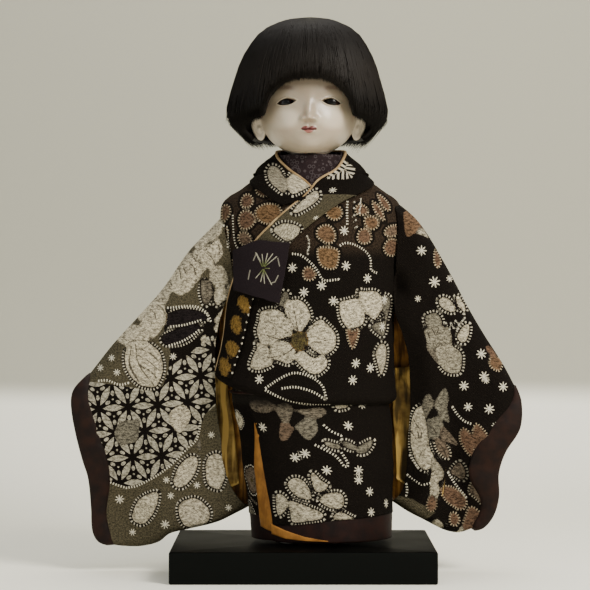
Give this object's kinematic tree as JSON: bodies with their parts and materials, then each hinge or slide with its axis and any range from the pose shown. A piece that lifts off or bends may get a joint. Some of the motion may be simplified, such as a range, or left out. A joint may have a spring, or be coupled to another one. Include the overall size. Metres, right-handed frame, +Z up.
{
  "type": "ichimatsu doll",
  "caption": "Ichimatsu doll with bobbed black hair in a dark flowered robe with long hanging sleeves, standing on a black lacquered board",
  "frame": {"origin": "middle of the board's underside, on the surface that the board stands on", "axes": "+Z up through the head, the doll faces -Y, +X is towards the doll's left arm"},
  "size_m": [0.3163, 0.13, 0.3875],
  "materials": {
    "lacquer": "polished black lacquer",
    "steel": "plain drawn",
    "brass": "satin",
    "shell_white": "polished shell-white coating",
    "stuffed_cloth": "plain woven, stuffed firm",
    "sock_cloth": "plain woven",
    "eye_glass": "polished",
    "hair_strands": "combed straight strands",
    "purple_cloth": "felted",
    "print_cloth": "printed crepe",
    "collar_print": "printed crepe",
    "orange_silk": "smooth satin weave",
    "wine_silk": "smooth weave",
    "brown_silk": "smooth weave",
    "cord": "braided"
  },
  "bodies": {
    "stand": {"base_board": "lacquer", "stand_rod": "steel", "rod_cap": "brass", "rod_nut": "steel"},
    "doll": {"chest": "shell_white", "midriff": "stuffed_cloth", "hips": "shell_white", "thigh_right": "stuffed_cloth", "shin_right": "shell_white", "sock_foot_right": "sock_cloth", "thigh_left": "stuffed_cloth", "shin_left": "shell_white", "sock_foot_left": "sock_cloth", "inner_collar": "purple_cloth", "robe_body": "print_cloth", "robe_collar": "collar_print", "felt_patch": "purple_cloth", "waist_cord": "cord", "robe_skirt": "print_cloth", "hem_facing": "wine_silk", "skirt_lining": "orange_silk", "under_robe": "wine_silk"},
    "head": {"head": "shell_white", "eye_right": "eye_glass", "eye_left": "eye_glass", "hair": "hair_strands"},
    "arm_right": {"upper_arm_right": "stuffed_cloth", "sleeve_right": "print_cloth", "sleeve_lining_right": "brown_silk", "inner_sleeve_right": "orange_silk"},
    "forearm_right": {"forearm_right": "shell_white"},
    "arm_left": {"upper_arm_left": "stuffed_cloth", "sleeve_left": "print_cloth", "sleeve_lining_left": "brown_silk", "inner_sleeve_left": "orange_silk"},
    "forearm_left": {"forearm_left": "shell_white"}
  },
  "joints": [
    {"name": "doll_lift", "type": "slide", "parent": "stand", "child": "doll", "axis": [0, 0, 1], "range_m": [0, 0.145]},
    {"name": "head_turn", "type": "hinge", "parent": "doll", "child": "head", "pos_m": [0.0055, 0, 0.2567], "axis": [0, 0, 1], "range_deg": [-35, 35]},
    {"name": "shoulder_right", "type": "hinge", "parent": "doll", "child": "arm_right", "pos_m": [-0.0395, 0, 0.249], "axis": [0, 1, 0], "range_deg": [0, 30]},
    {"name": "elbow_right", "type": "hinge", "parent": "arm_right", "child": "forearm_right", "pos_m": [-0.07678, 0, 0.20457], "axis": [0, -1, 0], "range_deg": [0, 22]},
    {"name": "shoulder_left", "type": "hinge", "parent": "doll", "child": "arm_left", "pos_m": [0.0505, 0, 0.249], "axis": [0, -1, 0], "range_deg": [0, 30]},
    {"name": "elbow_left", "type": "hinge", "parent": "arm_left", "child": "forearm_left", "pos_m": [0.08778, 0, 0.20457], "axis": [0, 1, 0], "range_deg": [0, 22]}
  ]
}
